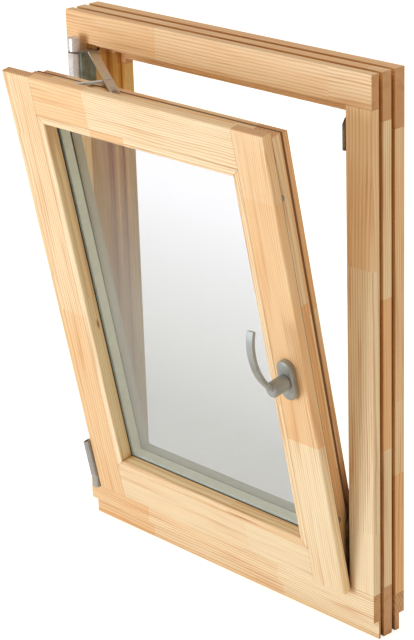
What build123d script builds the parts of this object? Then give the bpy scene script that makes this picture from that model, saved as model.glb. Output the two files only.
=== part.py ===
from build123d import *
from math import asin, atan2, degrees, hypot
import os

# A wooden tilt and turn window of laminated pine, with its sash tilted in at the top.
# X runs to the right as seen from the room, -Y faces the room and +Z is up. The origin lies on
# the underside of the sill, midway across the frame's width and depth.

# Frame, in millimetres. Widths are measured in from the frame's outer edge and depths from its
# face to the room.
frame_width = 650.0
frame_height = 880.0
frame_depth = 68.0
rebate_width = 50.0
rebate_depth = 41.0
stop_width = 66.0
lip_width = 78.0
lip_thickness = 15.0

# The three layers of the frame show on its outer edge as tongues with grooves between them.
front_tongue = 15.0
groove_width = 8.0
middle_tongue = 17.5
groove_depth = 8.0

# How far each layer of the head and of the sill reaches at the corner joints
head_joint_front = 50.0
head_joint_middle = 70.0
head_joint_back = 86.0
sill_joint_middle = 82.0
sill_joint_back = 61.0

# Sill: its upper face inside the rebate, its outer slope and the recesses under both faces
sill_floor = 76.0
sill_outer_edge = 57.0
sill_front_recess = 11.6
sill_front_recess_height = 31.0
sill_back_recess = 11.0
sill_back_recess_height = 27.0
frame_arris = 2.0

# Rain rail
rail_wall = 1.6
rail_lip = 3.2
rail_top = 92.0
rail_hood_height = 86.0
rail_nose_height = 72.0
rail_leg_depth = 53.0
rail_nose_depth = 65.4
rail_drip = 60.5
rail_end_gap = 2.0

# Sash. Insets are measured in from the sash's outer edge, depths from its face to the room.
flange_lap = 6.0
flange_thickness = 15.0
flange_gap = 3.0
edge_inset = 18.0
shoulder_inset = 23.0
shoulder_depth = 48.5
sash_depth = 68.0
member_width = 62.5
sight_width = 76.0
sash_arris = 3.0
sash_back_arris = 2.0
tilt_opening = 150.1

# Double glazing, from the room outwards
bead_depth = 22.3
strip_thickness = 2.2
pane_thickness = 4.0
pane_gap = 16.0
pane_clearance = 4.0
spacer_depth = 5.0
spacer_width = 7.0
bead_arris = 1.2
bead_inner_arris = 2.5

# Groove for the fittings round the sash's edge, and the faceplates in it
plate_width = 16.0
plate_thickness = 2.6
plate_setback = 1.0
channel_width = 12.0
channel_depth = 8.0
lock_plate_length = 660.0
bottom_plate_length = 400.0

# Sash gasket
gasket_setback = 1.0
gasket_bulb = 6.5
gasket_arris = 2.0

# Handle
handle_height = 376.0
handle_backset = 15.0
rosette_length = 65.0
rosette_width = 30.0
rosette_thickness = 10.0
rosette_arris = 3.0
spigot_radius = 10.5
spigot_length = 1.5
neck_radius = 12.0
neck_length = 31.0
neck_arris = 5.0
grip_width = 13.5
grip_thickness = 6.0
grip_arris = 1.5

# The grip's middle line: how far each point stands out from the rosette and above its middle
grip_line = [(24, -5), (31, 6), (41, 22), (51, 52), (52, 82), (45, 107)]

# Hinges on the left edge. Their common axis stands beside the closed sash.
hinge_offset = 7.0
hinge_forward = 16.5
hinge_radius = 10.2
hinge_flat = 9.0
hinge_core_radius = 7.6
fit_clearance = 0.2
bearing_height = 66.0
bearing_drop = 61.0
bearing_web = 3.0
bearing_plate_thickness = 3.0
bearing_plate_depth = 12.0
hinge_pin_radius = 4.0
cap_height = 21.0
cap_arris = 1.5
pin_in_cap = 12.0

# Stay that holds the tilted sash: a flat arm, cranked at the hinge, and a link to the sash
arm_offset = 27.0
arm_reach = 268.0
arm_width = 18.0
arm_thickness = 3.0
arm_leg_from = 10.0
arm_leg_width = 16.0
arm_slot_width = 2.4
arm_slot_length = 8.0
arm_slot_spacing = 11.0
recess_width = 23.0
recess_side = 4.0
recess_clearance = 2.0
recess_depth = 24.0
link_drop = 80.0
link_length = 51.0
link_width = 9.0
link_thickness = 3.0
stud_radius = 3.0
stud_head = 1.2
stud_head_lap = 1.5
slider_length = 44.0
slider_width = 12.0
slider_height = 3.0

# Lower hinge
pivot_rest_radius = 9.6
pivot_rest_height = 22.0
hinge_joint_gap = 2.5
corner_hinge_radius = 7.8
corner_hinge_length = 70.0
corner_hinge_slant = 20.0
corner_hinge_drop = 4.0
corner_hinge_web = 6.0
corner_hinge_wall = 1.6
corner_hinge_pocket = 6.0

# Lock cams and keepers
cam_radius = 5.0
cam_height = 9.0
cam_arris = 1.0
cam_upper_inset = 53.0
cam_lower_inset = 67.0
keeper_length = 58.0
keeper_depth = 18.0
keeper_thickness = 9.5
keeper_setback = 4.0
keeper_upper_drop = 119.0
keeper_lower_drop = 50.0
keeper_lip = 5.0
keeper_step = 3.0
keeper_channel_from = 6.0
keeper_channel_width = 9.0
keeper_channel_depth = 6.5
keeper_ramp = 20.0

# Places worked out from the sizes above
room_face = -frame_depth / 2
outer_face = frame_depth / 2
groove_one = front_tongue
groove_two = front_tongue + groove_width + middle_tongue
front_joint = groove_one + groove_width / 2
back_joint = groove_two + groove_width / 2
lip_depth = frame_depth - lip_thickness
sash_width = frame_width - 2 * (rebate_width - flange_lap)
sash_height = frame_height - rebate_width - sill_floor + 2 * flange_lap
sash_foot = sill_floor - flange_lap
pane_front = bead_depth + strip_thickness
gap_front = pane_front + pane_thickness
gap_back = gap_front + pane_gap
pane_back = gap_back + pane_thickness
glass_rebate = pane_back + strip_thickness
pane_inset = member_width + pane_clearance
spacer_inset = pane_inset + spacer_depth
plate_front = flange_thickness + plate_setback
plate_middle = plate_front + plate_width / 2
hinge_x = -(sash_width / 2 + hinge_offset)
hinge_y = room_face - hinge_forward
rebate_x = frame_width / 2 - rebate_width
tilt_angle = degrees(asin(tilt_opening / sash_height))
bearing_top = frame_height - bearing_drop
cam_upper_height = (sash_height + lock_plate_length) / 2 - cam_upper_inset
cam_lower_height = (sash_height - lock_plate_length) / 2 + cam_lower_inset


def block(x_from, x_to, y_from, y_to, z_from, z_to):
    """A rectangular block between two values on each axis."""
    size = Box(x_to - x_from, y_to - y_from, z_to - z_from, align=(Align.MIN, Align.MIN, Align.MIN))
    return Pos(x_from, y_from, z_from) * size


def bar_along_x(outline, x_from, x_to):
    """A bar with its outline given in Y and Z."""
    face = make_face(Plane.YZ.offset(x_from) * Polyline(*outline, close=True))
    return extrude(face, amount=x_to - x_from, dir=(1, 0, 0))


def bar_along_z(outline, z_from, z_to):
    """A bar with its outline given in X and Y."""
    face = make_face(Plane.XY.offset(z_from) * Polyline(*outline, close=True))
    return extrude(face, amount=z_to - z_from, dir=(0, 0, 1))


def ring(width, height, outer, inner, y_from, y_to):
    """A rectangular ring, its sides lying between two insets from an opening's outer edge."""
    half = width / 2
    plate = block(outer - half, half - outer, y_from, y_to, outer, height - outer)
    hole = block(inner - half, half - inner, y_from, y_to, inner, height - inner)
    return plate - hole


def sash_ring(outer, inner, front, back):
    """A ring of the sash, in the sash's own frame: Y is the depth and Z the height."""
    return ring(sash_width, sash_height, outer, inner, front, back)


def in_frame(depth):
    """The Y value of a depth in the frame."""
    return room_face + depth


sash_place = Pos(0, room_face - flange_gap - flange_thickness, sash_foot) * Rot(tilt_angle, 0, 0)
parts = {}


def make_frame():
    """The frame is shaped as one and then parted along its corner joints."""
    half = frame_width / 2
    section = [
        (0, 0),
        (rebate_width, 0),
        (rebate_width, rebate_depth),
        (stop_width, rebate_depth),
        (stop_width, lip_depth),
        (lip_width, lip_depth),
        (lip_width, frame_depth),
        (0, frame_depth),
    ]
    left = bar_along_z([(w - half, in_frame(d)) for w, d in section], 0, frame_height)
    right = mirror(left, Plane.YZ)
    head = bar_along_x([(in_frame(d), frame_height - w) for w, d in section], -half, half)
    sill_outline = [
        (in_frame(0), sill_front_recess_height),
        (in_frame(0), sill_floor),
        (in_frame(rebate_depth), sill_floor),
        (in_frame(rebate_depth), sill_joint_back),
        (in_frame(back_joint), sill_joint_back),
        (in_frame(frame_depth), sill_outer_edge),
        (in_frame(frame_depth), 0),
        (in_frame(0), 0),
    ]
    sill = bar_along_x(sill_outline, -half, half)
    frame = left + right + head + sill

    # Rounded edge towards the room, round the rebate
    inner_edges = frame.edges().filter_by(lambda e: is_room_rebate_edge(e))
    frame = fillet(inner_edges, frame_arris)

    # Recesses under the sill and the grooves round the outer edge
    frame -= block(-half, half, in_frame(0), in_frame(sill_front_recess), 0, sill_front_recess_height)
    back_from = in_frame(frame_depth - sill_back_recess)
    frame -= block(-half, half, back_from, outer_face, 0, sill_back_recess_height)
    for start in (groove_one, groove_two):
        y_from = in_frame(start)
        frame -= ring(frame_width, frame_height, 0, groove_depth, y_from, y_from + groove_width)

    # Recess at the upper left corner, where the stay arm's crank passes the rebate's edge
    recess_x = -rebate_x - recess_side
    frame -= block(
        recess_x,
        recess_x + recess_width,
        in_frame(0),
        in_frame(recess_depth),
        bearing_top - recess_clearance,
        frame_height - rebate_width + recess_clearance,
    )

    head_zone = bar_along_x(
        [
            (in_frame(0), frame_height),
            (in_frame(0), frame_height - head_joint_front),
            (in_frame(front_joint), frame_height - head_joint_front),
            (in_frame(front_joint), frame_height - head_joint_middle),
            (in_frame(back_joint), frame_height - head_joint_middle),
            (in_frame(back_joint), frame_height - head_joint_back),
            (in_frame(frame_depth), frame_height - head_joint_back),
            (in_frame(frame_depth), frame_height),
        ],
        -half,
        half,
    )
    sill_zone = bar_along_x(
        [
            (in_frame(0), 0),
            (in_frame(0), sill_floor),
            (in_frame(front_joint), sill_floor),
            (in_frame(front_joint), sill_joint_middle),
            (in_frame(back_joint), sill_joint_middle),
            (in_frame(back_joint), sill_joint_back),
            (in_frame(frame_depth), sill_joint_back),
            (in_frame(frame_depth), 0),
        ],
        -half,
        half,
    )
    parts["frame_head"] = frame & head_zone
    parts["frame_sill"] = frame & sill_zone
    jambs = (frame - head_zone - sill_zone).solids().sort_by(Axis.X)
    parts["frame_left_jamb"] = jambs[0]
    parts["frame_right_jamb"] = jambs[-1]


def is_room_rebate_edge(edge):
    """Whether an edge lies on the room face, along the rebate."""
    place = edge.center()
    on_face = abs(place.Y - room_face) < 0.01
    across = abs(place.X) < frame_width / 2 - rebate_width + 0.01
    inside = sill_floor - 0.01 < place.Z < frame_height - rebate_width + 0.01
    return on_face and across and inside


def make_rain_rail():
    """An aluminium rail that leads rain off the sill, with an end cap against each jamb."""
    web = in_frame(rebate_depth + 0.2 + rail_wall / 2)
    leg = in_frame(rail_leg_depth)
    nose = in_frame(rail_nose_depth)
    slope = (rail_hood_height - rail_nose_height) / (nose - web)
    leg_top = rail_hood_height - slope * (leg - web)
    sill_slope = (sill_joint_back - sill_outer_edge) / (frame_depth - back_joint)
    leg_foot = sill_joint_back - sill_slope * (rail_leg_depth - rail_wall / 2 - back_joint)
    end = frame_width / 2 - lip_width - rail_end_gap
    wall_line = Polyline((web - rail_lip, rail_top), (web, rail_top), (web, sill_joint_back))
    hood_line = Polyline((web, rail_hood_height), (nose, rail_nose_height), (nose, rail_drip))
    leg_line = Line((leg, leg_top), (leg, leg_foot))
    profile = trace(wall_line, rail_wall) + trace(hood_line, rail_wall) + trace(leg_line, rail_wall)
    rail = extrude(Plane.YZ.offset(-end) * profile, amount=2 * end, dir=(1, 0, 0))
    parts["rain_rail"] = rail

    wall = rail_wall / 2
    cap_outline = [
        (web - wall, sill_joint_back),
        (web - wall, rail_top + wall),
        (web + wall, rail_top + wall),
        (web + wall, rail_hood_height + wall),
        (nose + wall, rail_nose_height + wall),
        (nose + wall, rail_drip),
    ]
    stop = frame_width / 2 - stop_width
    right = bar_along_x(cap_outline, end, stop) - parts["frame_right_jamb"] - parts["frame_sill"]
    parts["rain_rail_right_cap"] = right
    parts["rain_rail_left_cap"] = mirror(right, Plane.YZ)


def make_sash():
    """The sash is shaped as one ring and then parted into stiles and rails."""
    sash = sash_ring(0, member_width, 0, flange_thickness)
    sash += sash_ring(edge_inset, member_width, flange_thickness, shoulder_depth)
    sash += sash_ring(shoulder_inset, member_width, shoulder_depth, glass_rebate)
    sash += sash_ring(shoulder_inset, sight_width, glass_rebate, sash_depth)
    half = sash_width / 2
    sash = fillet(front_edges(sash, 0), sash_arris)
    sash = fillet(front_edges(sash, member_width), bead_arris)
    back_edges = sash.edges().filter_by(lambda e: abs(e.center().Y - sash_depth) < 0.01)
    sash = fillet(back_edges, sash_back_arris)

    plate_floor = edge_inset + plate_thickness
    sash -= sash_ring(edge_inset, plate_floor, plate_front, plate_front + plate_width)
    channel_front = plate_middle - channel_width / 2
    channel_floor = plate_floor + channel_depth
    sash -= sash_ring(plate_floor, channel_floor, channel_front, channel_front + channel_width)

    left_zone = bar_along_z(
        [
            (-half, 0),
            (member_width - half, 0),
            (member_width - half, glass_rebate),
            (sight_width - half, glass_rebate),
            (sight_width - half, sash_depth),
            (-half, sash_depth),
        ],
        0,
        sash_height,
    )
    right_zone = mirror(left_zone, Plane.YZ)
    parts["sash_left_stile"] = sash_place * (sash & left_zone)
    parts["sash_right_stile"] = sash_place * (sash & right_zone)
    rails = (sash - left_zone - right_zone).solids().sort_by(Axis.Z)
    parts["sash_bottom_rail"] = sash_place * rails[0]
    parts["sash_top_rail"] = sash_place * rails[-1]


def on_outline(edge, inset):
    """Whether an edge of the sash lies at an inset from the sash's outer edge."""
    place = edge.center()
    reach = sash_width / 2 - inset
    at_side = abs(abs(place.X) - reach) < 0.01 and inset - 0.01 < place.Z < sash_height - inset + 0.01
    at_end = min(abs(place.Z - inset), abs(place.Z - sash_height + inset)) < 0.01
    return at_side or (at_end and abs(place.X) < reach + 0.01)


def front_edges(shape, inset):
    """The edges of a shape's room face that lie at an inset from the sash's outer edge."""
    return shape.edges().filter_by(lambda e: abs(e.center().Y) < 0.01 and on_outline(e, inset))


def make_beads():
    """Four glazing beads, mitred at the corners, let into the sash on the room side."""
    beads = sash_ring(member_width, sight_width, 0, bead_depth)
    beads = fillet(front_edges(beads, member_width), bead_arris)
    beads = fillet(front_edges(beads, sight_width), bead_inner_arris)
    left = -sash_width / 2
    reach = 2 * sight_width
    top = sash_height
    mitre = Polyline((left, 0), (left + reach, reach), (left + reach, top - reach), (left, top), close=True)
    left_zone = extrude(make_face(Plane.XZ * mitre), amount=-bead_depth)
    right_zone = mirror(left_zone, Plane.YZ)
    parts["bead_left"] = sash_place * (beads & left_zone)
    parts["bead_right"] = sash_place * (beads & right_zone)
    rest = (beads - left_zone - right_zone).solids().sort_by(Axis.Z)
    parts["bead_bottom"] = sash_place * rest[0]
    parts["bead_top"] = sash_place * rest[-1]


def make_glazing():
    """Two panes with a spacer bar and its seal, held between two black strips."""
    half = sash_width / 2 - pane_inset
    low = pane_inset
    high = sash_height - pane_inset
    parts["inner_pane"] = sash_place * block(-half, half, pane_front, gap_front, low, high)
    parts["outer_pane"] = sash_place * block(-half, half, gap_back, pane_back, low, high)
    parts["edge_seal"] = sash_place * sash_ring(pane_inset, spacer_inset, gap_front, gap_back)
    spacer = sash_ring(spacer_inset, spacer_inset + spacer_width, gap_front, gap_back)
    parts["spacer_bar"] = sash_place * spacer
    parts["inner_glazing_strip"] = sash_place * sash_ring(pane_inset, sight_width, bead_depth, pane_front)
    parts["outer_glazing_strip"] = sash_place * sash_ring(pane_inset, sight_width, pane_back, glass_rebate)


def make_sash_gasket():
    """The soft seal on the sash's shoulder, which closes on the frame."""
    back = shoulder_depth + gasket_bulb
    inset = edge_inset + gasket_setback
    gasket = sash_ring(inset, shoulder_inset, shoulder_depth, back)
    crown = gasket.edges().filter_by(lambda e: abs(e.center().Y - back) < 0.01 and on_outline(e, inset))
    parts["sash_gasket"] = sash_place * fillet(crown, gasket_arris)


def faceplate(length):
    """A faceplate with round ends, standing, its outer face at X = 0 and its middle at Y = 0."""
    outline = Plane.YZ * (Rot(0, 0, 90) * SlotOverall(length, plate_width))
    return extrude(outline, amount=-plate_thickness)


def make_lock():
    """Faceplates in the sash's edge groove, with the cams that lock into the keepers."""
    edge = sash_width / 2 - edge_inset
    plate = Pos(edge, plate_middle, sash_height / 2) * faceplate(lock_plate_length)
    parts["lock_faceplate"] = sash_place * plate
    bottom = Pos(0, plate_middle, edge_inset) * Rot(0, 90, 0) * faceplate(bottom_plate_length)
    parts["bottom_faceplate"] = sash_place * bottom
    for name, height in (("lock_cam_upper", cam_upper_height), ("lock_cam_lower", cam_lower_height)):
        cam = Cylinder(cam_radius, cam_height, align=(Align.CENTER, Align.CENTER, Align.MIN))
        cam = fillet(cam.edges().sort_by(Axis.Z)[-1], cam_arris)
        parts[name] = sash_place * Pos(edge, plate_middle, height) * Rot(0, 90, 0) * cam


def make_handle():
    """The rosette and the lever, which stands up with the sash tilted."""
    axis_x = sash_width / 2 - edge_inset - handle_backset
    place = sash_place * Pos(axis_x, 0, handle_height)
    outline = Plane.XZ * (Rot(0, 0, 90) * SlotOverall(rosette_length, rosette_width))
    rosette = extrude(outline, amount=rosette_thickness)
    front = rosette.faces().sort_by(Axis.Y)[0].edges()
    rosette = fillet(front, rosette_arris)
    parts["handle_rosette"] = place * rosette

    spigot = Plane.XZ * upright(spigot_radius, spigot_length)
    neck = Plane.XZ * upright(neck_radius, neck_length - spigot_length)
    neck = Pos(0, -spigot_length, 0) * fillet(neck.edges().sort_by(Axis.Y)[0], neck_arris)
    middle_line = Spline(*[(-out, up) for out, up in grip_line])
    grip = extrude(Plane.YZ * trace(middle_line, grip_thickness), amount=grip_width / 2, both=True)
    side_edges = grip.edges().filter_by(lambda e: abs(abs(e.center().X) - grip_width / 2) < 0.01)
    grip = fillet(side_edges, grip_arris)
    parts["handle_lever"] = place * Pos(0, -rosette_thickness, 0) * (spigot + neck + grip)


def upright(radius, height):
    """A round post that stands on the XY plane."""
    return Cylinder(radius, height, align=(Align.CENTER, Align.CENTER, Align.MIN))


def make_upper_hinge():
    """The stay bearing on the left jamb, its sleeve, and the cap over the stay arm's eye."""
    foot = bearing_top - bearing_height
    plate_x = -rebate_x + bearing_plate_thickness
    bearing = block(-rebate_x, plate_x, hinge_y, in_frame(bearing_plate_depth), foot, bearing_top)
    bearing += block(hinge_x, plate_x, hinge_y, hinge_y + bearing_web, foot, bearing_top)
    bearing += Pos(hinge_x, hinge_y, foot) * upright(hinge_core_radius, bearing_height)
    pin_height = fit_clearance + arm_thickness + pin_in_cap
    bearing += Pos(hinge_x, hinge_y, bearing_top) * upright(hinge_pin_radius, pin_height)
    parts["stay_bearing"] = bearing

    bore = hinge_core_radius + fit_clearance
    sleeve = upright(hinge_radius, bearing_height) - upright(bore, bearing_height)
    sleeve = Pos(hinge_x, hinge_y, foot) * sleeve
    gate = block(hinge_x, plate_x + fit_clearance, hinge_y - fit_clearance, in_frame(0), foot, bearing_top)
    flat_from = hinge_y - hinge_radius
    front = block(
        hinge_x - hinge_radius, hinge_x + hinge_radius, flat_from, hinge_y - hinge_flat, foot, bearing_top
    )
    parts["stay_bearing_cover"] = sleeve - gate - front

    cap_foot = bearing_top + fit_clearance + arm_thickness
    pin_hole = upright(hinge_pin_radius + fit_clearance, pin_in_cap + fit_clearance)
    cap = upright(hinge_radius, cap_height) - pin_hole
    cap = fillet(cap.faces().sort_by(Axis.Z)[-1].edges(), cap_arris)
    parts["stay_bearing_cap"] = Pos(hinge_x, hinge_y, cap_foot) * cap


def make_stay():
    """The flat arm from the hinge to the sash's top edge, and the slider that it pivots on."""
    arm_foot = bearing_top + fit_clearance
    track_top = sash_height - edge_inset
    slider_middle = sash_place * Pos(0, plate_middle, track_top + slider_height)
    end_y = slider_middle.position.Y
    end_angle = degrees(asin((end_y - hinge_y) / hypot(arm_reach, arm_offset)))
    swing = degrees(atan2(arm_offset, arm_reach)) - end_angle
    place = Pos(hinge_x, hinge_y, arm_foot) * Rot(0, 0, -swing)

    half = arm_width / 2
    crank = arm_leg_from + arm_leg_width
    outline = make_face(
        Polyline(
            (0, -half),
            (crank, -half),
            (crank, arm_offset - half),
            (arm_reach, arm_offset - half),
            (arm_reach, arm_offset + half),
            (arm_leg_from, arm_offset + half),
            (arm_leg_from, half),
            (0, half),
            close=True,
        )
    )
    outline += Pos(arm_reach, arm_offset) * Circle(half)
    outline += Circle(hinge_radius)
    outline -= Circle(hinge_pin_radius + fit_clearance)
    for distance in (arm_reach - 2 * arm_slot_spacing, arm_reach - arm_slot_spacing):
        outline -= Pos(distance, arm_offset) * Rot(0, 0, 90) * SlotOverall(arm_slot_length, arm_slot_width)
    link_along = arm_reach - link_drop
    for distance in (arm_reach, link_along):
        outline -= Pos(distance, arm_offset) * Circle(stud_radius + fit_clearance)
    parts["stay_arm"] = place * extrude(outline, amount=arm_thickness)

    track_length = sash_width - 2 * member_width
    track = Rot(0, -90, 0) * faceplate(track_length)
    parts["stay_track"] = sash_place * Pos(0, plate_middle, track_top) * track

    end = (place * Pos(arm_reach, arm_offset, 0)).position
    slider_slot = sash_place * Pos(end.X, plate_middle, track_top)
    half = slider_length / 2
    side = slider_width / 2
    slider = slider_slot * block(-half, half, -side, side, 0, slider_height)
    stud_foot = slider_slot.position.Z + slider_height / 2
    stud_top = arm_foot + arm_thickness
    slider += Pos(end.X, end.Y, stud_foot) * upright(stud_radius, stud_top - stud_foot)
    slider += Pos(end.X, end.Y, stud_top) * upright(stud_radius + stud_head_lap, stud_head)
    parts["stay_slider"] = slider

    rivet = (place * Pos(link_along, arm_offset, 0)).position
    link_foot = arm_foot - fit_clearance - link_thickness
    foot_y = (sash_place * Pos(0, plate_middle, track_top + slider_height)).position.Y
    link_angle = -180 + degrees(asin((rivet.Y - foot_y) / link_length))
    link = Pos(link_length / 2, 0) * SlotCenterToCenter(link_length, link_width)
    link = extrude(link, amount=link_thickness)
    link += upright(stud_radius, link_thickness + fit_clearance + arm_thickness)
    parts["stay_link"] = Pos(rivet.X, rivet.Y, link_foot) * Rot(0, 0, link_angle) * link


def make_lower_hinge():
    """The pivot rest on the left jamb and the corner hinge on the sash, which stands on its pin."""
    side = -sash_width / 2 - fit_clearance
    base = sash_foot
    top = base + pivot_rest_height
    rest = Pos(hinge_x, hinge_y, base) * upright(pivot_rest_radius, pivot_rest_height)
    rest += block(hinge_x - hinge_core_radius, side, hinge_y, in_frame(0), base, top)
    rest -= block(side, side + pivot_rest_radius, hinge_y - pivot_rest_radius, in_frame(0), base, top)
    parts["pivot_rest"] = rest

    # The corner hinge in the sash's own frame, its open top cut on a slant
    axis_depth = flange_gap + flange_thickness - hinge_forward
    body = corner_hinge_core(0) - above_slant(corner_hinge_length - corner_hinge_drop)
    pocket_foot = corner_hinge_length - corner_hinge_drop - corner_hinge_pocket
    body -= corner_hinge_core(corner_hinge_wall) & above_slant(pocket_foot)
    foot = pivot_rest_height + hinge_joint_gap
    parts["corner_hinge"] = sash_place * Pos(hinge_x, axis_depth, foot) * body


def corner_hinge_core(inset):
    """The corner hinge's round body and its web to the sash's edge, drawn in by an inset."""
    radius = corner_hinge_radius - inset
    web = corner_hinge_web - inset
    reach = hinge_offset - inset
    body = upright(radius, corner_hinge_length)
    body += block(0, reach, -web, web, 0, corner_hinge_length)
    return body - block(reach, reach + radius, -radius, radius, 0, corner_hinge_length)


def above_slant(height):
    """What lies above the corner hinge's slanted top, the slant crossing its axis at a height."""
    reach = corner_hinge_length
    return Pos(0, 0, height) * Rot(0, -corner_hinge_slant, 0) * block(-reach, reach, -reach, reach, 0, reach)


def make_keepers():
    """Keepers on the right jamb's rebate, each with a channel that a lock cam runs into."""
    inner = rebate_x - keeper_thickness
    front = in_frame(keeper_setback)
    channel_front = front + keeper_channel_from
    channel_back = channel_front + keeper_channel_width
    upper_foot = frame_height - keeper_upper_drop
    lower_foot = sash_foot + cam_lower_height - keeper_lower_drop
    for name, foot in (("keeper_upper", upper_foot), ("keeper_lower", lower_foot)):
        top = foot + keeper_length
        ramp_foot = top - keeper_ramp
        outline = Polyline((rebate_x, foot), (rebate_x, top), (inner, ramp_foot), (inner, foot), close=True)
        keeper = extrude(make_face(Plane.XZ.offset(-front) * outline), amount=-keeper_depth)
        keeper -= block(inner + keeper_lip, rebate_x, front, front + keeper_step, foot, top)
        keeper -= block(inner, inner + keeper_channel_depth, channel_front, channel_back, foot, ramp_foot)
        parts[name] = keeper


make_frame()
make_rain_rail()
make_sash()
make_beads()
make_glazing()
make_sash_gasket()
make_lock()
make_handle()
make_upper_hinge()
make_stay()
make_lower_hinge()
make_keepers()

os.makedirs("parts", exist_ok=True)
for name, shape in parts.items():
    export_step(shape, "parts/" + name + ".step")
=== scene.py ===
import math
import random
import bpy
import bmesh
from mathutils import Matrix, Vector


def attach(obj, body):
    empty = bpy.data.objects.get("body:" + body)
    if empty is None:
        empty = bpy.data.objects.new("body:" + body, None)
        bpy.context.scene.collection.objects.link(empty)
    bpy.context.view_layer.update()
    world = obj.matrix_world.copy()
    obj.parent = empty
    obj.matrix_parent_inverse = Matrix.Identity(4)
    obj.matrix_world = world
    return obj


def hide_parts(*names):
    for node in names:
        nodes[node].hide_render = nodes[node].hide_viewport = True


# A wooden tilt and turn window of laminated pine, its sash tilted in at the top.
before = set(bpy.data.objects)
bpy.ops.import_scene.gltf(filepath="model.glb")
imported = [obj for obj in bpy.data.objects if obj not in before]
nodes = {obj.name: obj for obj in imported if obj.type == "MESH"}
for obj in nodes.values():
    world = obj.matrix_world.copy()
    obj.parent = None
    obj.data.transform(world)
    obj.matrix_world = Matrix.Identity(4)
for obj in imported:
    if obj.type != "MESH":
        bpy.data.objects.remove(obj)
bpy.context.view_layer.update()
scene = bpy.context.scene
scene.view_settings.view_transform = "Standard"

# Camera
# A long lens looks down at the window from the right, as a seller photographs one.
# Its place and turn were worked out from the corners of the frame.
camera_place = Vector((2.2507, -2.1405, 1.6219))
camera_right = Vector((0.68835, 0.72469, -0.03175))
camera_up = Vector((-0.23947, 0.26835, 0.93308))
camera_back = Vector((0.68471, -0.63468, 0.35826))
camera = bpy.data.cameras.new("camera")
camera.lens = 120.34
camera.sensor_width = 36
camera.clip_start = 0.1
camera.clip_end = 100
camera_object = bpy.data.objects.new("camera", camera)
camera_turn = Matrix((camera_right, camera_up, camera_back)).transposed().to_4x4()
camera_object.matrix_world = Matrix.Translation(camera_place) @ camera_turn
scene.collection.objects.link(camera_object)
scene.camera = camera_object

# Surroundings
# A warm even light, as in a room with pale walls, reaches the window from all round.
# The camera, and what the glass lets through, see plain white instead.
room_light = (0.71, 0.63, 0.53, 1)
plain_white = (1, 1, 1, 1)


class Shading:
    """A material or world under work: adds nodes and joins them to what they are given."""

    def __init__(self, tree):
        self.tree = tree
        self.tree.nodes.clear()

    def add(self, kind, inputs=(), out=0, **settings):
        """A node of a kind. Inputs are given by name or place, as values or as outputs."""
        node = self.tree.nodes.new("ShaderNode" + kind)
        for key, value in settings.items():
            setattr(node, key, value)
        for key, value in dict(inputs).items():
            socket = node.inputs[key]
            if isinstance(value, bpy.types.NodeSocket):
                self.tree.links.new(value, socket)
            else:
                socket.default_value = value
        return node.outputs[out]

    def calc(self, operation, first, second=0.0, third=0.0):
        """A sum. MULTIPLY_ADD is the first times the second, plus the third."""
        return self.add("Math", {0: first, 1: second, 2: third}, operation=operation)

    def less(self, first, second):
        """The first without the second."""
        return self.calc("SUBTRACT", first, second)

    def product(self, *factors):
        result = factors[0]
        for factor in factors[1:]:
            result = self.calc("MULTIPLY", result, factor)
        return result

    def length(self, first, second):
        """The length of a vector with two sides."""
        return self.calc("SQRT", self.calc("MULTIPLY_ADD", first, first, self.product(second, second)))

    def mix(self, share, first, second, blend="MIX"):
        """A mix of two colours."""
        inputs = {0: share, 6: first, 7: second}
        return self.add("Mix", inputs, out=2, data_type="RGBA", blend_type=blend)

    def noise(self, place, scale=1.0, detail=2.0):
        return self.add("TexNoise", {"Vector": place, "Scale": scale, "Detail": detail})

    def bump(self, height, strength, distance):
        return self.add("Bump", {"Height": height, "Strength": strength, "Distance": distance})

    def ramp(self, value, stops, interpolation="LINEAR"):
        """A colour ramp from pairs of place and grey or colour."""
        output = self.add("ValToRGB", {"Fac": value})
        ramp = output.node.color_ramp
        ramp.interpolation = interpolation
        while len(ramp.elements) < len(stops):
            ramp.elements.new(1.0)
        for element, (place, colour) in zip(ramp.elements, stops):
            element.position = place
            element.color = (*colour, 1) if isinstance(colour, tuple) else (colour, colour, colour, 1)
        return output

    def close(self, surface, kind="OutputMaterial"):
        """Joins a surface to the tree's output."""
        end = self.tree.nodes.new("ShaderNode" + kind)
        self.tree.links.new(surface, end.inputs["Surface"])


world = bpy.data.worlds.new("surroundings")
scene.world = world
world.use_nodes = True
sky = Shading(world.node_tree)
ray = sky.add("LightPath").node.outputs
seen = sky.calc("MAXIMUM", ray["Is Camera Ray"], ray["Is Transmission Ray"])
warm = sky.add("Background", {"Color": room_light, "Strength": 1.0})
white = sky.add("Background", {"Color": plain_white, "Strength": 1.0})
sky.close(sky.add("MixShader", {0: seen, 1: warm, 2: white}), "OutputWorld")

# Lamp
# A round soft lamp with cool light stands low in front, a little to the left.
# It looks at the lower middle of the window.
lamp_colour = (0.70, 0.83, 1.0)
lamp_power = 62
lamp_size = 1.35
lamp_distance = 3.2
lamp_azimuth = math.radians(-18)
lamp_elevation = math.radians(2)
lamp_aim = Vector((0, 0, 0.35))
lamp = bpy.data.lights.new("key_lamp", "AREA")
lamp.shape = "DISK"
lamp.size = lamp_size
lamp.energy = lamp_power
lamp.color = lamp_colour
lamp_side = Vector((math.sin(lamp_azimuth), -math.cos(lamp_azimuth), 0))
lamp_away = lamp_side * math.cos(lamp_elevation) + Vector((0, 0, math.sin(lamp_elevation)))
lamp_turn = lamp_away.to_track_quat("Z", "Y").to_matrix().to_4x4()
lamp_object = bpy.data.objects.new("key_lamp", lamp)
lamp_object.matrix_world = Matrix.Translation(lamp_aim + lamp_away * lamp_distance) @ lamp_turn
scene.collection.objects.link(lamp_object)

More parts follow.
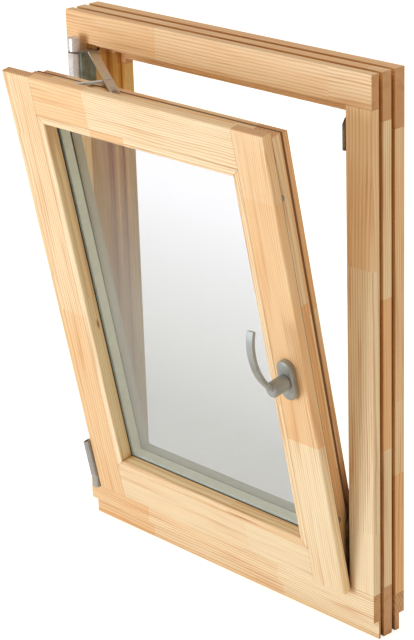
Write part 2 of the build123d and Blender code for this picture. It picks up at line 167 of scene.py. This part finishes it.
# Floor
# A matt white floor carries the window and keeps its shadow. It glows for the camera, the glass and
# the metal alone, so that it shows white with no more light on the window.
floor_reach = 40.0
floor_paint = (0.93, 0.93, 0.93, 1)
glow_for_camera = 0.62
glow_through_glass = 0.80
glow_on_metal = 0.10


def new_material(name):
    """A material of nodes, the Shading that fills it, and the Object coordinates."""
    material = bpy.data.materials.new(name)
    material.use_nodes = True
    shading = Shading(material.node_tree)
    place = shading.add("TexCoord", out="Object")
    return material, shading, place


shape = bmesh.new()
bmesh.ops.create_grid(shape, x_segments=1, y_segments=1, size=floor_reach / 2)
floor_mesh = bpy.data.meshes.new("floor")
shape.to_mesh(floor_mesh)
shape.free()
floor = bpy.data.objects.new("floor", floor_mesh)
scene.collection.objects.link(floor)
material, shading, place = new_material("white_floor")
ray = shading.add("LightPath").node.outputs
glow = shading.product(ray["Is Camera Ray"], glow_for_camera)
glow = shading.calc("MULTIPLY_ADD", ray["Is Transmission Ray"], glow_through_glass, glow)
glow = shading.calc("MULTIPLY_ADD", ray["Is Glossy Ray"], glow_on_metal, glow)
paint = shading.add("BsdfDiffuse", {"Color": floor_paint})
shine = shading.add("Emission", {"Color": plain_white, "Strength": glow})
shading.close(shading.add("AddShader", {0: paint, 1: shine}))
floor_mesh.materials.append(material)


# Frame
# Head, sill and jambs of Scandinavian pine, glued up in three layers from finger-jointed staves.
# They are profiled, joined at the corners and given a clear satin lacquer.
def rgb(red, green, blue):
    """A colour of a paint chart, 0 to 255, as the renderer's linear values."""
    parts = [value / 255 for value in (red, green, blue)]
    return (*[v / 12.92 if v <= 0.04045 else ((v + 0.055) / 1.055) ** 2.4 for v in parts], 1)


pale_wood = rgb(255, 233, 192)
peach_wood = rgb(247, 200, 144)
late_wood = rgb(204, 138, 76)
end_wood = rgb(205, 150, 98)
knot_wood = rgb(150, 88, 42)
seam_wood = rgb(170, 112, 55)
# The next two colours are painted shade, for the crevices and for the deep gaps.
painted_crevice_shade = rgb(228, 194, 134)
painted_gap_shade = rgb(44, 24, 10)
# Painted light: the grey green laid on the reveals behind the glass.
painted_daylight_grey = rgb(206, 212, 190)
layer_shift = 0.37
streak_scale = (5, 110)
fibre_scale = (14, 900)
drift_scale = (5, 45)
sway_scale = (2.2, 8)
ripple_scale = (26, 60)
weakest_rings = 0.65
least_ring = 0.0028
ring_spread = 0.0024
ring_profile = [(0.0, 0.4), (0.12, 0.0), (0.48, 0.1), (0.8, 0.8), (0.9, 1.0), (1.0, 0.4)]
ring_sway = 0.014
ring_ripple = 0.0012
pith_beside = 0.045
pith_beside_spread = 0.14
pith_behind = 0.02
pith_behind_spread = 0.05
broken_rings = [(0.3, 0.3), (0.7, 1.0)]
late_strength = 0.85
streak_shade = [(0.56, 0.0), (0.74, 0.42)]
fibre_shade = [(0.3, 0.92), (0.7, 1.0)]
fibre_rough = [(0.2, 0.36), (0.8, 0.48)]
late_height = 0.5
tone_drift = 0.9
inner_tone = 0.1
inner_tone_spread = 0.5
end_facing = [(0.6, 0.0), (0.8, 1.0)]
end_strength = 0.7
mark_core = 0.3
seam_width = 0.0007
seam_shade = [(0.6, 0.85), (1.0, 0.0)]
crevice_reach = 0.014
crevice_shade = [(0.35, 0.8), (0.95, 0.0)]
gap_reach = 0.05
gap_shade = [(0.08, 0.95), (0.3, 0.0)]
occlusion_samples = 8
pane_back = 0.0506
reveal_play = 0.0008
upright_frame = {"home": Matrix.Identity(4), "front": -0.034, "layers": (0.019, 0.0445)}


class Member:
    """A pine member under work, with the place of a point in it: reach along the fibres, which run
    along X or Z, share of the length, side across the face from its middle, and depth behind it."""

    def __init__(self, name, along, home, front, layers):
        inward = home.inverted()
        points = [inward @ vertex.co for vertex in nodes[name].data.vertices]
        self.low = [min(point[axis] for point in points) for axis in range(3)]
        self.high = [max(point[axis] for point in points) for axis in range(3)]
        self.name = name
        self.along = along
        self.across = 2 - along
        self.length = self.high[along] - self.low[along]
        self.lengthwise = home.to_3x3() @ Vector([1 if axis == along else 0 for axis in range(3)])
        self.material, self.shading, place = new_material(name + "_pine")
        shading = self.shading
        into_home = {"Vector": place, "Location": home.translation, "Rotation": home.to_euler()}
        local = shading.add("Mapping", into_home, vector_type="TEXTURE")
        self.axes = shading.add("SeparateXYZ", {0: local}).node.outputs
        self.reach = self.axes[along]
        self.share = shading.calc("DIVIDE", shading.less(self.reach, self.low[along]), self.length)
        middle = (self.low[self.across] + self.high[self.across]) / 2
        self.side = shading.less(self.axes[self.across], middle)
        self.depth = shading.less(self.axes[1], front)
        self.behind = [shading.calc("GREATER_THAN", self.depth, joint) for joint in layers]
        self.layer = shading.calc("ADD", *self.behind)

    def drawn_out(self, scale, third=None, detail=2.0):
        """Noise drawn out along the fibres. Its scale has a value along them and one across, and a
        third value takes the place of the depth."""
        shading = self.shading
        lengthwise, crosswise = scale
        if third is None:
            third = shading.product(self.depth, crosswise)
        place = {0: shading.product(self.reach, lengthwise), 1: shading.product(self.side, crosswise)}
        return shading.noise(shading.add("CombineXYZ", {**place, 2: third}), detail=detail)

    def lay_staves(self, joints, tones):
        """Gives each stave its tone, from 0 for pale to 1 for peach, and chances of its own. Joints
        are the finger joints' places as shares of the length. They are shifted in each layer."""
        shading = self.shading
        chances = random.Random(self.name)
        stops = []
        for start, tone in zip((0.0, *joints), tones):
            stops.append((start, (tone, chances.random(), chances.uniform(weakest_rings, 1.0))))
        shifted = shading.calc("MULTIPLY_ADD", self.layer, layer_shift, self.share)
        laid = shading.ramp(shading.calc("FRACT", shifted), stops, "CONSTANT")
        stave = shading.add("SeparateColor", {0: laid}).node
        self.tone, self.stave, self.ring_strength = stave.outputs
        key = shading.add("CombineXYZ", {0: self.stave, 1: self.layer, 2: len(self.name)})
        drawn = shading.add("TexWhiteNoise", {"Vector": key}, out="Color")
        self.chances = shading.add("SeparateColor", {0: drawn}).node.outputs

    def grow_rings(self, streak):
        """How far late wood shows, in rings about a pith that lies beside and behind each stave."""
        shading = self.shading
        sway = shading.less(self.drawn_out(sway_scale, self.stave), 0.5)
        sway = shading.product(sway, ring_sway)
        ripple = shading.less(self.drawn_out(ripple_scale, self.layer), 0.5)
        bend = shading.calc("MULTIPLY_ADD", ripple, ring_ripple, sway)
        chance = shading.less(self.chances[0], 0.5)
        beside = shading.product(shading.calc("SIGN", chance), pith_beside)
        beside = shading.calc("MULTIPLY_ADD", chance, pith_beside_spread, beside)
        behind = shading.calc("MULTIPLY_ADD", self.chances[1], pith_behind_spread, pith_behind)
        behind = shading.calc("ADD", self.depth, behind)
        from_pith = shading.length(shading.less(self.side, beside), behind)
        spacing = shading.calc("MULTIPLY_ADD", self.chances[2], ring_spread, least_ring)
        ring = shading.calc("DIVIDE", shading.calc("ADD", from_pith, bend), spacing)
        late = shading.ramp(shading.calc("FRACT", ring), ring_profile)
        return shading.product(late, self.ring_strength, shading.ramp(streak, broken_rings))

    def colour(self, late, streak, fibre):
        """The wood's own colour: the stave's tone with slow drifts, streaks, rings and fibres."""
        shading = self.shading
        drift = shading.less(self.drawn_out(drift_scale), 0.5)
        tone = shading.calc("MULTIPLY_ADD", drift, tone_drift, self.tone)
        inner = shading.calc("MULTIPLY_ADD", self.chances[1], inner_tone_spread, inner_tone)
        tone = shading.calc("MULTIPLY_ADD", inner, self.behind[0], tone)
        wood = shading.mix(tone, pale_wood, peach_wood)
        wood = shading.mix(shading.ramp(streak, streak_shade), wood, late_wood)
        wood = shading.mix(shading.product(late, late_strength), wood, late_wood)
        return shading.mix(1.0, wood, shading.ramp(fibre, fibre_shade), "MULTIPLY")

    def darken_ends(self, wood, late):
        """Cut ends show darker, because they drink the lacquer, and the rings stand out on them."""
        shading = self.shading
        normal = shading.add("TexCoord", out="Normal")
        ahead = {0: normal, 1: self.lengthwise}
        facing = shading.add("VectorMath", ahead, out="Value", operation="DOT_PRODUCT")
        cut = shading.ramp(shading.calc("ABSOLUTE", facing), end_facing)
        ringed = shading.mix(late, end_wood, knot_wood)
        return shading.mix(shading.product(cut, end_strength), wood, ringed)

    def mark(self, wood, share, side, depth, half_length, half_width, strength):
        """A knot or a resin streak, by the place of its middle and its half sizes."""
        shading = self.shading
        lengthwise = shading.product(shading.less(self.share, share), self.length / half_length)
        crosswise = shading.length(shading.less(self.side, side), shading.less(self.depth, depth))
        distance = shading.length(lengthwise, shading.calc("DIVIDE", crosswise, half_width))
        spot = shading.ramp(distance, [(mark_core, strength), (1.0, 0.0)])
        return shading.mix(spot, wood, knot_wood)

    def paint_reveal_light(self, wood, axis, place, strength):
        """Painted light: the reveal behind the glass is mixed towards the grey green of daylight on
        it.
        """
        shading = self.shading
        reveal = shading.calc("COMPARE", self.axes[axis], place, reveal_play)
        reveal = shading.product(reveal, shading.calc("GREATER_THAN", self.depth, pane_back), strength)
        return shading.mix(reveal, wood, painted_daylight_grey)

    def draw_seams(self, wood, ends=None, outer=0):
        """A fine dark line where the member meets its neighbours. Ends are the lowest and highest
        reach of each layer, and outer is the side, -1 or 1, on which a mitred member is longest."""
        shading = self.shading
        ends = ends or ((self.low[self.along], self.high[self.along]),) * 3
        gaps = []
        for first, second, third in zip(*ends):
            end = shading.calc("MULTIPLY_ADD", self.behind[0], second - first, first)
            end = shading.calc("MULTIPLY_ADD", self.behind[1], third - second, end)
            gaps.append(shading.calc("ABSOLUTE", shading.less(self.reach, end)))
        gap = shading.calc("MINIMUM", *gaps)
        if outer:
            half = (self.high[self.across] - self.low[self.across]) / 2
            gap = shading.less(gap, shading.calc("MULTIPLY_ADD", self.side, -outer, half))
        line = shading.ramp(shading.calc("DIVIDE", gap, seam_width), seam_shade)
        return shading.mix(line, wood, seam_wood)

    def hidden(self, reach, shade):
        """How far a point is hidden by what stands within a reach of it."""
        near = {"Distance": reach}
        openness = self.shading.add("AmbientOcclusion", near, "AO", samples=occlusion_samples)
        return self.shading.ramp(openness, shade)

    def paint_crevice_shade(self, wood):
        """Painted shade: crevices darken, and deep gaps, where little light reaches, nearly to black.
        """
        shading = self.shading
        crevice_shaded = shading.mix(1.0, wood, painted_crevice_shade, "MULTIPLY")
        wood = shading.mix(self.hidden(crevice_reach, crevice_shade), wood, crevice_shaded)
        return shading.mix(self.hidden(gap_reach, gap_shade), wood, painted_gap_shade)

    def lacquer(self, wood, late, fibre):
        """Closes the material with its lacquer, which lets the grain be felt."""
        shading = self.shading
        height = shading.calc("MULTIPLY_ADD", late, late_height, fibre)
        bump = shading.bump(height, strength=0.25, distance=0.0002)
        rough = shading.ramp(fibre, fibre_rough)
        looks = {"Base Color": wood, "Roughness": rough, "Normal": bump, "Specular IOR Level": 0.4,
                 "Coat Weight": 0.12, "Coat Roughness": 0.25}
        shading.close(shading.add("BsdfPrincipled", looks))


def cover(name, material):
    """Gives a CAD node its material."""
    mesh = nodes[name].data
    mesh.materials.clear()
    mesh.materials.append(material)


def pine(name, along, place, joints, tones, painted_shade=None, marks=(), reveal=None, seams=None):
    """Covers a member with pine. Along is the axis of its fibres, 0 or 2, place the frame or sash
    that it belongs to. A colour given as painted shade is multiplied over the whole member. Marks,
    reveal and seams hold what Member's functions of those names take."""
    member = Member(name, along, **place)
    member.lay_staves(joints, tones)
    streak = member.drawn_out(streak_scale)
    fibre = member.drawn_out(fibre_scale, detail=3.0)
    late = member.grow_rings(streak)
    wood = member.colour(late, streak, fibre)
    # Painted shade: a given colour darkens the whole member.
    if painted_shade:
        wood = member.shading.mix(1.0, wood, painted_shade, "MULTIPLY")
    wood = member.darken_ends(wood, late)
    for mark in marks:
        wood = member.mark(wood, **mark)
    if reveal:
        wood = member.paint_reveal_light(wood, **reveal)
    if seams is not None:
        wood = member.draw_seams(wood, **seams)
    wood = member.paint_crevice_shade(wood)
    member.lacquer(wood, late, fibre)
    cover(name, member.material)


jamb_ends = {"ends": ((0.076, 0.830), (0.082, 0.810), (0.061, 0.794))}
# Painted shade: the left jamb is darkened and turned olive all over, as little light reaches it.
olive_painted_shade = rgb(243, 244, 202)
pine("frame_head", 0, upright_frame, joints=(0.32, 0.874), tones=(0.95, 0.6, 0.5))
pine("frame_sill", 0, upright_frame, joints=(0.22, 0.685), tones=(0.8, 0.35, 0.0))
pine("frame_left_jamb", 2, upright_frame, joints=(0.4, 0.8), tones=(0.95, 1.0, 0.9),
     painted_shade=olive_painted_shade, seams=jamb_ends)
pine("frame_right_jamb", 2, upright_frame, joints=(0.15, 0.688), tones=(0.05, 0.0, 0.6),
     seams=jamb_ends)


# Rain rail
# A rail of anodised aluminium is clipped on the sill's outer side and sheds the rain.
# A cap of black plastic closes each of its ends.
plating_clouds = [(0.38, 0.0), (0.62, 1.0)]
line_scale = 1500
line_stretch = (1, 1, 0.08)
metal_play = 0.06
matt_play = 0.08
speck_light = 1.5
speck_lift = 0.004


def finish(name, colour, other, roughness, metallic=1.0, clouds=60):
    """A metal with faint clouds in its plating and fine drawn lines. Clouds is their scale."""
    material, shading, place = new_material(name + "_finish")
    cloud = shading.ramp(shading.noise(place, clouds, 3.0), plating_clouds)
    stretched = shading.add("Mapping", {"Vector": place, "Scale": line_stretch})
    lines = shading.noise(stretched, line_scale)
    rough = shading.ramp(lines, [(0.25, roughness - metal_play), (0.75, roughness + metal_play)])
    looks = {"Base Color": shading.mix(cloud, colour, other), "Roughness": rough,
             "Metallic": metallic, "Normal": shading.bump(lines, strength=0.08, distance=0.0001)}
    shading.close(shading.add("BsdfPrincipled", looks))
    return material


def metal(names, *colours, **looks):
    """Covers CAD nodes with a metal."""
    for name in names:
        cover(name, finish(name, *colours, **looks))


def matt(names, colour, roughness, grain):
    """Covers CAD nodes with rubber or plastic that has a fine grain of its own."""
    light = (*[min(1, value * speck_light + speck_lift) for value in colour[:3]], 1)
    for name in names:
        material, shading, place = new_material(name + "_finish")
        speck = shading.noise(place, grain, 4.0)
        rough = shading.ramp(speck, [(0.2, roughness - matt_play), (0.8, roughness + matt_play)])
        looks = {"Base Color": shading.mix(speck, colour, light), "Roughness": rough,
                 "Normal": shading.bump(speck, strength=0.2, distance=0.0001)}
        shading.close(shading.add("BsdfPrincipled", looks))
        cover(name, material)


metal(["rain_rail"], rgb(184, 186, 188), rgb(176, 178, 180), roughness=0.35)
matt(["rain_rail_left_cap", "rain_rail_right_cap"], rgb(36, 36, 36), roughness=0.5, grain=1400)

# Sash
# Stiles and rails of the same pine carry the glass. They are joined at the corners, and the sash
# leans into the room about its lower edge.
tilt = math.radians(11.3)
sash_origin = Vector((0, -0.052, 0.070))
sash_home = Matrix.Translation(sash_origin) @ Matrix.Rotation(tilt, 4, "X")
tilted_sash = {"home": sash_home, "front": 0.0, "layers": (0.0227, 0.0453)}
sight_side = 0.205
sight_top = 0.690
sight_foot = 0.076
foot_streak = {"share": 0.62, "side": 0.0295, "depth": 0.0, "half_length": 0.03,
               "half_width": 0.0016, "strength": 0.8}
# Each reveal behind the glass gets painted light, strongest on the bottom rail's, which faces up.
pine("sash_left_stile", 2, tilted_sash, joints=(0.457, 0.86), tones=(0.8, 0.45, 0.55),
     reveal={"axis": 0, "place": -sight_side, "strength": 0.6})
pine("sash_right_stile", 2, tilted_sash, joints=(0.342, 0.86), tones=(0.1, 0.85, 0.65),
     reveal={"axis": 0, "place": sight_side, "strength": 0.6})
pine("sash_top_rail", 0, tilted_sash, joints=(0.278,), tones=(0.85, 0.28),
     reveal={"axis": 2, "place": sight_top, "strength": 0.6}, seams={})
pine("sash_bottom_rail", 0, tilted_sash, joints=(0.68,), tones=(0.2, 0.0), marks=[foot_streak],
     reveal={"axis": 2, "place": sight_foot, "strength": 0.85}, seams={})

# Glazing beads
# Four pine beads are mitred at the corners and pinned round the glass on the room side.
# The left one has a small knot in its reveal, and the lower one a resin streak.
bead_knot = {"share": 0.42, "side": 0.00675, "depth": 0.016, "half_length": 0.012,
             "half_width": 0.003, "strength": 0.9}
bead_streak = {"share": 0.68, "side": -0.002, "depth": 0.0, "half_length": 0.05,
               "half_width": 0.002, "strength": 0.7}
pine("bead_left", 2, tilted_sash, joints=(0.5,), tones=(0.0, 0.2), marks=[bead_knot],
     seams={"outer": -1})
pine("bead_right", 2, tilted_sash, joints=(0.4,), tones=(0.3, 0.4), seams={"outer": 1})
pine("bead_top", 0, tilted_sash, joints=(0.28, 0.45), tones=(0.3, 0.9, 0.2), seams={"outer": 1})
pine("bead_bottom", 0, tilted_sash, joints=(0.6,), tones=(0.35, 0.6), marks=[bead_streak],
     seams={"outer": -1})

# Glazing
# Two panes of clear float glass stand on an aluminium spacer, sealed round their edge.
# They are bedded between black strips.
# A colour that glows by itself near the foot is a painted reflection of the floor.
# The tint greys the panes towards their foot: partly their own tint, partly painted shade.
pane_tint_and_painted_shade = [(0.14, (0.64, 0.655, 0.685)), (0.27, (0.65, 0.665, 0.69)),
             (0.44, (0.74, 0.755, 0.785)), (0.66, (0.793, 0.81, 0.845))]
painted_reflection_share = [(0.2, 0.15), (0.44, 0.11), (0.7, 0.0)]
painted_floor_reflection = (0.68, 0.675, 0.58, 1)
shadow_tint = (0.93, 0.96, 0.93, 1)


def glass(name):
    """Clear glass with painted shade that greys it towards its foot, and a glowing painted reflection
    of the floor there.
    """
    material, shading, place = new_material(name + "_glass")
    height = shading.add("SeparateXYZ", {0: place}, "Z")
    looks = {"Base Color": shading.ramp(height, pane_tint_and_painted_shade), "Roughness": 0.0, "IOR": 1.2,
             "Transmission Weight": 1.0}
    clear = shading.add("BsdfPrincipled", looks)
    painted_reflection = shading.add("Emission", {"Color": painted_floor_reflection, "Strength": 1.0})
    clear = shading.add("MixShader", {0: shading.ramp(height, painted_reflection_share), 1: clear, 2: painted_reflection})
    ray = shading.add("LightPath").node.outputs
    unseen = shading.calc("MAXIMUM", ray["Is Shadow Ray"], ray["Is Diffuse Ray"])
    through = shading.add("BsdfTransparent", {"Color": shadow_tint})
    shading.close(shading.add("MixShader", {0: unseen, 1: clear, 2: through}))
    cover(name, material)


glass("inner_pane")
glass("outer_pane")
metal(["spacer_bar"], rgb(250, 252, 238), rgb(242, 244, 228), roughness=0.5, metallic=0.0)
matt(["edge_seal", "inner_glazing_strip", "outer_glazing_strip"], rgb(34, 34, 30),
     roughness=0.6, grain=900)

# Gasket
# A lip of brown rubber runs round the sash's shoulder and seals it against the frame.
# It is pressed into a groove of its own.
matt(["sash_gasket"], rgb(112, 72, 38), roughness=0.6, grain=900)

# Handle
# A bowed lever of satin anodised aluminium turns in an oblong rosette.
# The rosette is screwed to the sash's right stile.
metal(["handle_rosette", "handle_lever"], rgb(168, 170, 164), rgb(156, 156, 150),
      roughness=0.46, metallic=0.55)

# Upper hinge
# The stay's bearing is a zinc plated steel plate screwed to the left jamb.
# A silver coloured sleeve and a cap hide its knuckle.
# Its dark olive colour is partly the zinc's passivated tint and partly painted shade.
metal(["stay_bearing"], rgb(124, 128, 114), rgb(102, 100, 82), roughness=0.42, metallic=0.8)
metal(["stay_bearing_cover", "stay_bearing_cap"], rgb(222, 222, 222), rgb(208, 203, 202),
      roughness=0.3, metallic=0.45)

# Stay arm
# A flat strip of zinc plated steel, punched with its slots and cranked where it leaves the hinge.
# It turns on the hinge's pin under the cap and on the slider's stud, and the link's rivet holds it.
arm_reach = 0.268
arm_offset = 0.027
arm_half = 0.00725
arm_thickness = 0.003
arm_burr = 0.0003
arm_chamfer = 0.004
eye_radius = 0.0099
pin_hole = 0.0042
stud_hole = 0.0032
crank_width = 0.014
crank_corner = 0.0005
crank_shade_reach = 0.02
crank_shade_side = arm_offset - arm_half + 0.001
rivet_place = 0.188
slot_places = (0.198, 0.246, 0.257)
slot_half = 0.0028
slot_radius = 0.0016
hinge_eye = Vector((-0.288, -0.0505, 0.8192))
arm_angle = math.radians(-33.43)


def arc(x, y, radius, start, stop, steps):
    """Points on an arc, its ends given in degrees."""
    angles = [math.radians(start + (stop - start) * step / steps) for step in range(steps + 1)]
    return [(x + radius * math.cos(angle), y + radius * math.sin(angle)) for angle in angles]


def hole(x, y, radius):
    """A round hole of 24 sides."""
    return arc(x, y, radius, 0, 345, 23)


def punched(name, outlines):
    """A flat piece with holes: the first outline is its edge and the others its holes."""
    curve = bpy.data.curves.new(name, "CURVE")
    curve.dimensions = "2D"
    curve.fill_mode = "BOTH"
    curve.extrude = arm_thickness / 2 - arm_burr
    curve.bevel_depth = arm_burr
    curve.offset = -arm_burr
    for points in outlines:
        spline = curve.splines.new("POLY")
        spline.points.add(len(points) - 1)
        for point, (x, y) in zip(spline.points, points):
            point.co = (x, y, 0, 1)
        spline.use_cyclic_u = True
    drawn = bpy.data.objects.new(name, curve)
    mesh = bpy.data.meshes.new_from_object(drawn)
    bpy.data.objects.remove(drawn)
    return mesh


edge = arc(0, 0, eye_radius, 90, 315, 16)
edge += [(crank_width, -crank_corner), (crank_width, arm_offset - arm_half)]
edge += arc(arm_reach, arm_offset, arm_half, -90, 90, 12)
edge += [(arm_chamfer, arm_offset + arm_half), (0.0, arm_offset + arm_half - arm_chamfer)]
holes = [hole(0, 0, pin_hole), hole(arm_reach, arm_offset, stud_hole),
         hole(rivet_place, arm_offset, stud_hole)]
for slot_place in slot_places:
    holes.append(arc(slot_place, arm_offset + slot_half, slot_radius, 0, 180, 8)
                 + arc(slot_place, arm_offset - slot_half, slot_radius, 180, 360, 8))
arm_mesh = punched("punched_arm", [edge] + holes)
# Painted shade: side faces about the crank get a dark, rough finish of their own.
for face in arm_mesh.polygons:
    in_crank_shade = face.center.x < crank_shade_reach and face.center.y < crank_shade_side
    face.material_index = 1 if in_crank_shade and abs(face.normal.z) < 0.9 else 0
arm_mesh.transform(Matrix.Translation(hinge_eye + Vector((0, 0, arm_thickness / 2)))
                   @ Matrix.Rotation(arm_angle, 4, "Z"))
arm_mesh.materials.append(finish("punched_arm", rgb(178, 184, 154), rgb(196, 160, 162),
                                 roughness=0.4, metallic=0.5, clouds=120))
arm_mesh.materials.append(finish("punched_crank_painted_shade", rgb(92, 88, 72), rgb(66, 62, 52),
                                 roughness=0.6, metallic=0.3, clouds=300))
arm = bpy.data.objects.new("punched_arm", arm_mesh)
scene.collection.objects.link(arm)
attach(arm, "root")
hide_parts("stay_arm")

# Stay link and track
# The bright link is riveted under the arm and holds it at the tilt.
# The slider carries the arm's stud in a zinc plated track on top of the sash.
metal(["stay_link"], rgb(206, 220, 228), rgb(176, 186, 190), roughness=0.32, metallic=0.25)
metal(["stay_track", "stay_slider"], rgb(150, 148, 130), rgb(138, 130, 120), roughness=0.42)

# Lower hinge
# The pivot rest is screwed to the left jamb, and the corner hinge to the sash stands in it.
# Both are silver coloured.
metal(["pivot_rest", "corner_hinge"], rgb(172, 172, 172), rgb(164, 163, 160),
      roughness=0.45, metallic=0.3)

# Lock
# Zinc plated faceplates are screwed over the rods in the sash's edge groove.
# The cams slide in their slots and grip the keepers.
metal(["lock_faceplate", "lock_cam_upper", "lock_cam_lower", "bottom_faceplate"],
      rgb(150, 148, 130), rgb(138, 130, 120), roughness=0.42)

# Keepers
# Two cast keepers of zinc are screwed into the right jamb's rebate.
# The lock's cams run in behind their lips.
metal(["keeper_upper", "keeper_lower"], rgb(140, 132, 112), rgb(112, 100, 84), roughness=0.42)
